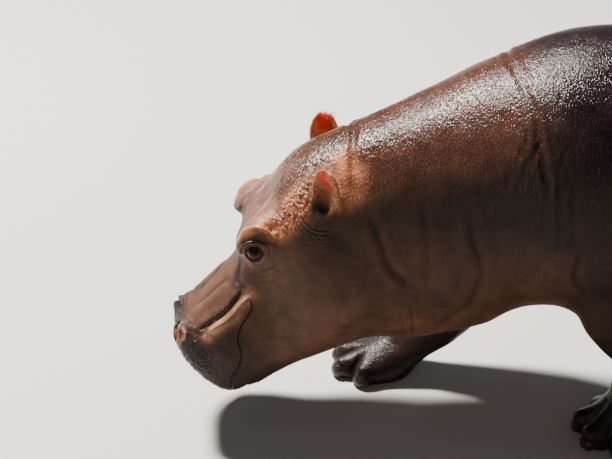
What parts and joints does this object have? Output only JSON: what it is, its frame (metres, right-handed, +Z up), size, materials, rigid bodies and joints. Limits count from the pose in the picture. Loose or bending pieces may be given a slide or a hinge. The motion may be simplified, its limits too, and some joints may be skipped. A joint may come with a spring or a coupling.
{
  "type": "hippopotamus calf",
  "caption": "Life-size model of a young hippopotamus walking with its head held low, standing on the flat soles of its feet.",
  "frame": {"origin": "middle of the animal's outline seen from above, at the level of its soles", "axes": "+X from the head towards the rump, +Y to the animal's right, +Z up"},
  "size_m": [1.662, 0.5232, 0.7698],
  "materials": {
    "skin": "wet, finely wrinkled bare skin",
    "ear_skin": "thin bare skin, red inside the cup",
    "nail": "dark worn horn",
    "eye": "wet and glossy"
  },
  "bodies": {
    "root": {"ear_left": "ear_skin", "ear_right": "ear_skin", "eye_left": "eye", "eye_right": "eye", "fore_left_foot": "skin", "fore_left_foot_nail_inner": "nail", "fore_left_foot_nail_inner_middle": "nail", "fore_left_foot_nail_outer": "nail", "fore_left_foot_nail_outer_middle": "nail", "fore_left_lower": "skin", "fore_left_upper": "skin", "fore_right_foot": "skin", "fore_right_foot_nail_inner": "nail", "fore_right_foot_nail_inner_middle": "nail", "fore_right_foot_nail_outer": "nail", "fore_right_foot_nail_outer_middle": "nail", "fore_right_lower": "skin", "fore_right_upper": "skin", "head": "skin", "hind_left_foot": "skin", "hind_left_foot_nail_inner": "nail", "hind_left_foot_nail_inner_middle": "nail", "hind_left_foot_nail_outer": "nail", "hind_left_foot_nail_outer_middle": "nail", "hind_left_lower": "skin", "hind_left_upper": "skin", "hind_right_foot": "skin", "hind_right_foot_nail_inner": "nail", "hind_right_foot_nail_inner_middle": "nail", "hind_right_foot_nail_outer": "nail", "hind_right_foot_nail_outer_middle": "nail", "hind_right_lower": "skin", "hind_right_upper": "skin", "lower_jaw": "skin", "neck": "skin", "tail": "skin", "trunk": "skin"}
  },
  "joints": []
}
